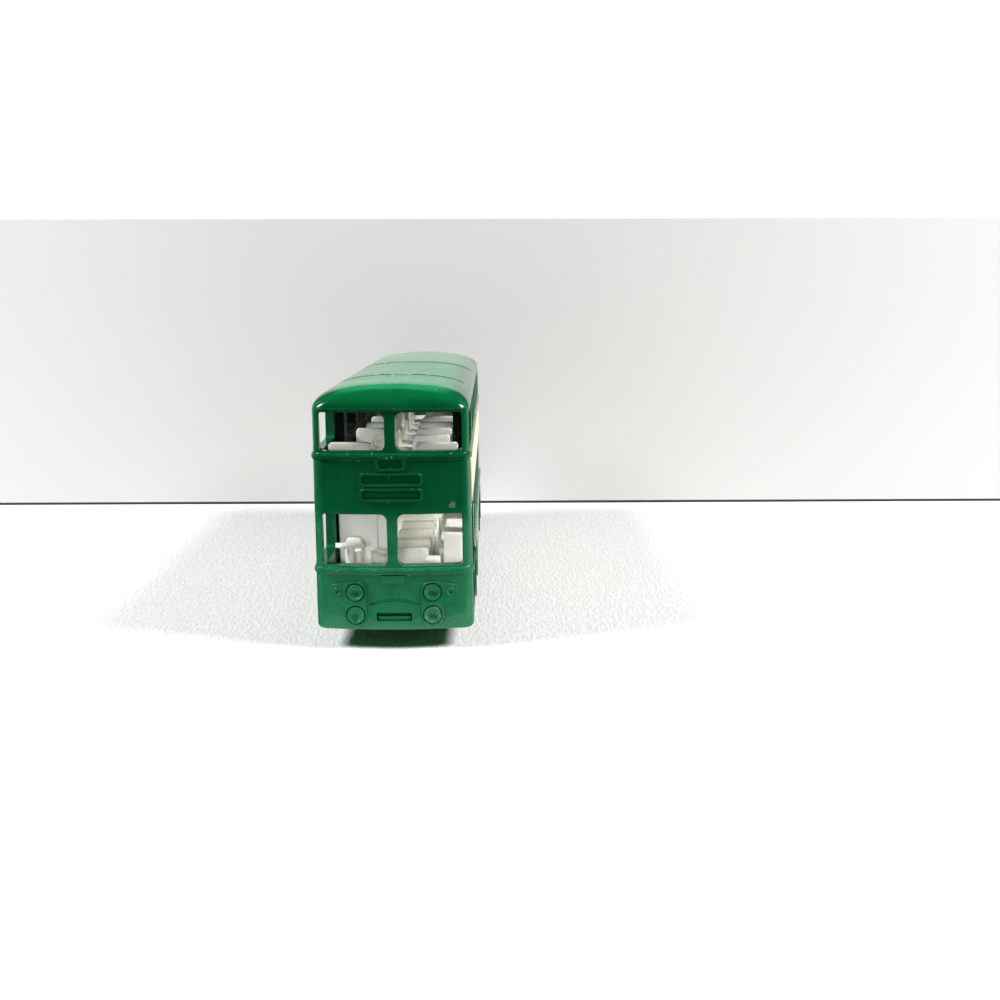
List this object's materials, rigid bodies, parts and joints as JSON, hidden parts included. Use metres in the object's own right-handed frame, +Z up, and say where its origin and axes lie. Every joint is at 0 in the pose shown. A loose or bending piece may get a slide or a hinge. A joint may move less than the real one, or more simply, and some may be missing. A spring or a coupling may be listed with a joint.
{
  "type": "toy double-decker bus",
  "caption": "Pocket-size die-cast double-decker toy bus with open windows, moulded seats on both decks, a riveted base and free-rolling wheels.",
  "frame": {"origin": "on the ground under the middle of the bus", "axes": "+Z up, -Y out of the front, +X out of the door side (the bus's own left)"},
  "size_m": [0.0222, 0.0776, 0.0367],
  "materials": {
    "body_enamel": "gloss",
    "base_enamel": "gloss",
    "seat_plastic": "satin",
    "frame_plastic": "matte",
    "label": "matte",
    "axle_steel": "satin",
    "wheel_plastic": "satin"
  },
  "bodies": {
    "bus": {"body_shell": "body_enamel", "base_plate": "base_enamel", "upper_deck_seats": "seat_plastic", "lower_deck_seats": "seat_plastic", "window_frame_left": "frame_plastic", "window_frame_right": "frame_plastic", "side_label_left": "label", "side_label_right": "label"},
    "front_axle": {"front_axle": "axle_steel"},
    "rear_axle": {"rear_axle": "axle_steel"},
    "front_wheel_left": {"front_wheel_left": "wheel_plastic"},
    "front_wheel_right": {"front_wheel_right": "wheel_plastic"},
    "rear_wheel_left": {"rear_wheel_left": "wheel_plastic"},
    "rear_wheel_right": {"rear_wheel_right": "wheel_plastic"}
  },
  "joints": [
    {"name": "front_axle_turn", "type": "hinge", "parent": "bus", "child": "front_axle", "pos_m": [0, -0.0175, 0.0047], "axis": [1, 0, 0], "continuous": true},
    {"name": "front_wheel_left_roll", "type": "hinge", "parent": "front_axle", "child": "front_wheel_left", "pos_m": [0.0081, -0.0175, 0.0047], "axis": [1, 0, 0], "continuous": true},
    {"name": "front_wheel_right_roll", "type": "hinge", "parent": "front_axle", "child": "front_wheel_right", "pos_m": [-0.0081, -0.0175, 0.0047], "axis": [1, 0, 0], "continuous": true},
    {"name": "rear_axle_turn", "type": "hinge", "parent": "bus", "child": "rear_axle", "pos_m": [0, 0.0235, 0.0047], "axis": [1, 0, 0], "continuous": true},
    {"name": "rear_wheel_left_roll", "type": "hinge", "parent": "rear_axle", "child": "rear_wheel_left", "pos_m": [0.0081, 0.0235, 0.0047], "axis": [1, 0, 0], "continuous": true},
    {"name": "rear_wheel_right_roll", "type": "hinge", "parent": "rear_axle", "child": "rear_wheel_right", "pos_m": [-0.0081, 0.0235, 0.0047], "axis": [1, 0, 0], "continuous": true}
  ]
}
